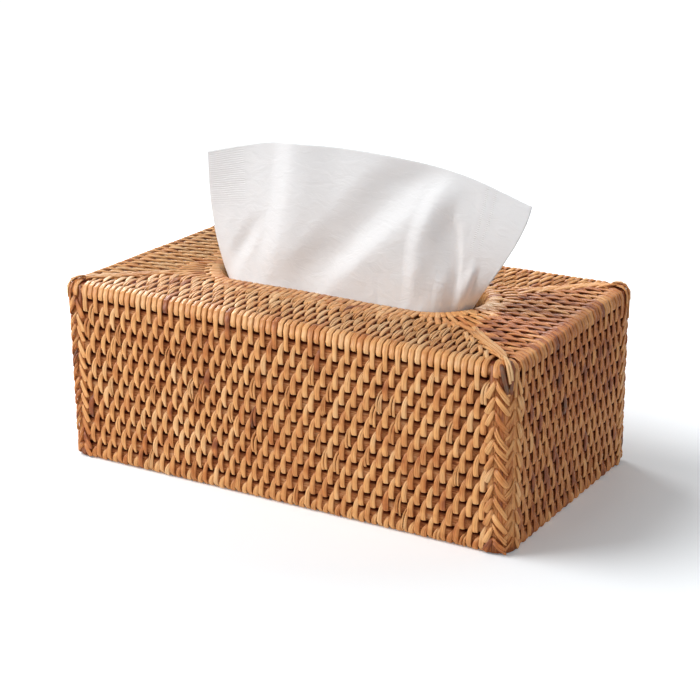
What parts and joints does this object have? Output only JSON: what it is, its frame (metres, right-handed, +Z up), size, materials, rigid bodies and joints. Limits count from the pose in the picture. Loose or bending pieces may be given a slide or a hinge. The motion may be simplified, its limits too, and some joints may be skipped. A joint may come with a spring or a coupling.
{
  "type": "tissue box cover",
  "caption": "Hand-woven rattan cover with an oval top opening that drops over a flat tissue carton, with the carton, its stack and one pulled-up tissue.",
  "frame": {"origin": "on the table under the middle of the cover, at the bottom centre of the bounding box", "axes": "+X along the long side to the right, +Y from the front to the back, +Z up"},
  "size_m": [0.26, 0.141, 0.1694],
  "materials": {
    "rattan_peel": "split rattan peel, honey to orange brown, satin with pale highlights and fine grain along the strand",
    "rattan_braid": "split rattan peel, a little darker, satin",
    "rattan_rod": "bare rattan cane, reddish brown, matte and fibrous",
    "carton_board": "plain white carton board, matte",
    "stacked_paper": "stacked white tissue, matte",
    "tissue_paper": "soft white two-ply tissue with fine crepe, matte"
  },
  "bodies": {
    "carton": {"tissue_carton": "carton_board", "tissue_stack": "stacked_paper"},
    "cover": {"base_rod": "rattan_rod", "wall_rod_01": "rattan_rod", "wall_rod_02": "rattan_rod", "wall_rod_03": "rattan_rod", "wall_rod_04": "rattan_rod", "wall_rod_05": "rattan_rod", "wall_rod_06": "rattan_rod", "wall_rod_07": "rattan_rod", "wall_rod_08": "rattan_rod", "wall_rod_09": "rattan_rod", "wall_rod_10": "rattan_rod", "wall_rod_11": "rattan_rod", "edge_rod": "rattan_rod", "top_rod_1": "rattan_rod", "top_rod_2": "rattan_rod", "top_rod_3": "rattan_rod", "top_rod_4": "rattan_rod", "rim_rod": "rattan_rod", "filler_rod_front_right": "rattan_rod", "filler_rod_back_right": "rattan_rod", "filler_rod_back_left": "rattan_rod", "filler_rod_front_left": "rattan_rod", "front_weave": "rattan_peel", "right_weave": "rattan_peel", "back_weave": "rattan_peel", "left_weave": "rattan_peel", "top_front_weave": "rattan_peel", "top_right_weave": "rattan_peel", "top_back_weave": "rattan_peel", "top_left_weave": "rattan_peel", "rim_wrap": "rattan_peel", "corner_braid_front_right": "rattan_braid", "corner_braid_back_right": "rattan_braid", "corner_braid_back_left": "rattan_braid", "corner_braid_front_left": "rattan_braid", "mitre_braid_front_right": "rattan_braid", "mitre_braid_back_right": "rattan_braid", "mitre_braid_back_left": "rattan_braid", "mitre_braid_front_left": "rattan_braid"},
    "tissue": {"pulled_tissue": "tissue_paper"}
  },
  "joints": [
    {"name": "cover_lift", "type": "slide", "parent": "carton", "child": "cover", "axis": [0, 0, 1], "range_m": [0, 0.1]},
    {"name": "tissue_pull", "type": "slide", "parent": "cover", "child": "tissue", "axis": [0, 0, 1], "range_m": [0, 0.06]}
  ]
}
